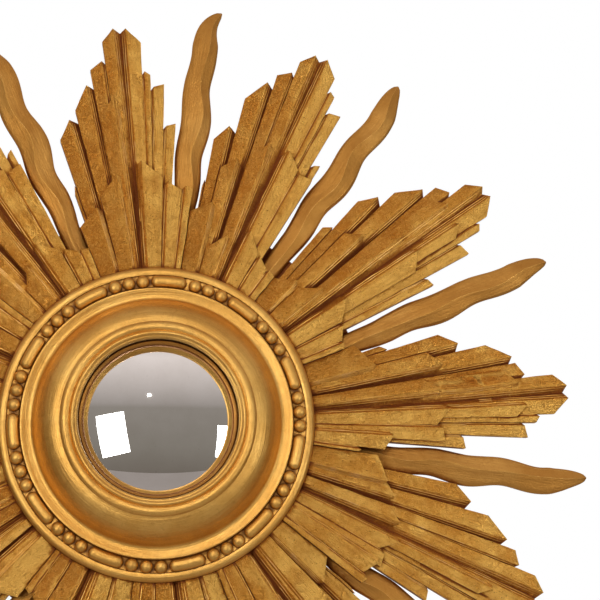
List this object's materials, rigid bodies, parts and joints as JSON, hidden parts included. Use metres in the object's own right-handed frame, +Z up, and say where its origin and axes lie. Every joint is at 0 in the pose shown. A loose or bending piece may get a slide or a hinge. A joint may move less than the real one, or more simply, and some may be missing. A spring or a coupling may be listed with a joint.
{
  "type": "wall mirror",
  "caption": "Round sunburst wall mirror with a small convex glass, a turned beaded frame and carved gilded rays and flames.",
  "frame": {"origin": "centre of the back board's flat back, where it rests on the wall", "axes": "+Y into the wall, so the mirror faces -Y; +Z up; +X to the viewer's right"},
  "size_m": [0.8995, 0.083, 0.8985],
  "materials": {
    "gilt_rays": "carved wood, oil gilded and toned, satin",
    "gilt_frame": "turned wood, burnished gold leaf, worn",
    "gilt_slip": "thin gilded wood slip, darkened",
    "silvered_glass": "convex glass silvered behind",
    "board_wood": "plain dark stained wood"
  },
  "bodies": {
    "root": {"back_board": "board_wood", "frame_ring": "gilt_frame", "mirror_glass": "silvered_glass", "slip_ring": "gilt_slip", "ray_bundle_01": "gilt_rays", "ray_bundle_02": "gilt_rays", "ray_bundle_03": "gilt_rays", "ray_bundle_04": "gilt_rays", "ray_bundle_05": "gilt_rays", "ray_bundle_06": "gilt_rays", "ray_bundle_07": "gilt_rays", "ray_bundle_08": "gilt_rays", "ray_bundle_09": "gilt_rays", "ray_bundle_10": "gilt_rays", "ray_bundle_11": "gilt_rays", "ray_bundle_12": "gilt_rays", "flame_01": "gilt_rays", "flame_02": "gilt_rays", "flame_03": "gilt_rays", "flame_04": "gilt_rays", "flame_05": "gilt_rays", "flame_06": "gilt_rays", "flame_07": "gilt_rays", "flame_08": "gilt_rays", "flame_09": "gilt_rays", "flame_10": "gilt_rays", "flame_11": "gilt_rays", "flame_12": "gilt_rays"}
  },
  "joints": []
}
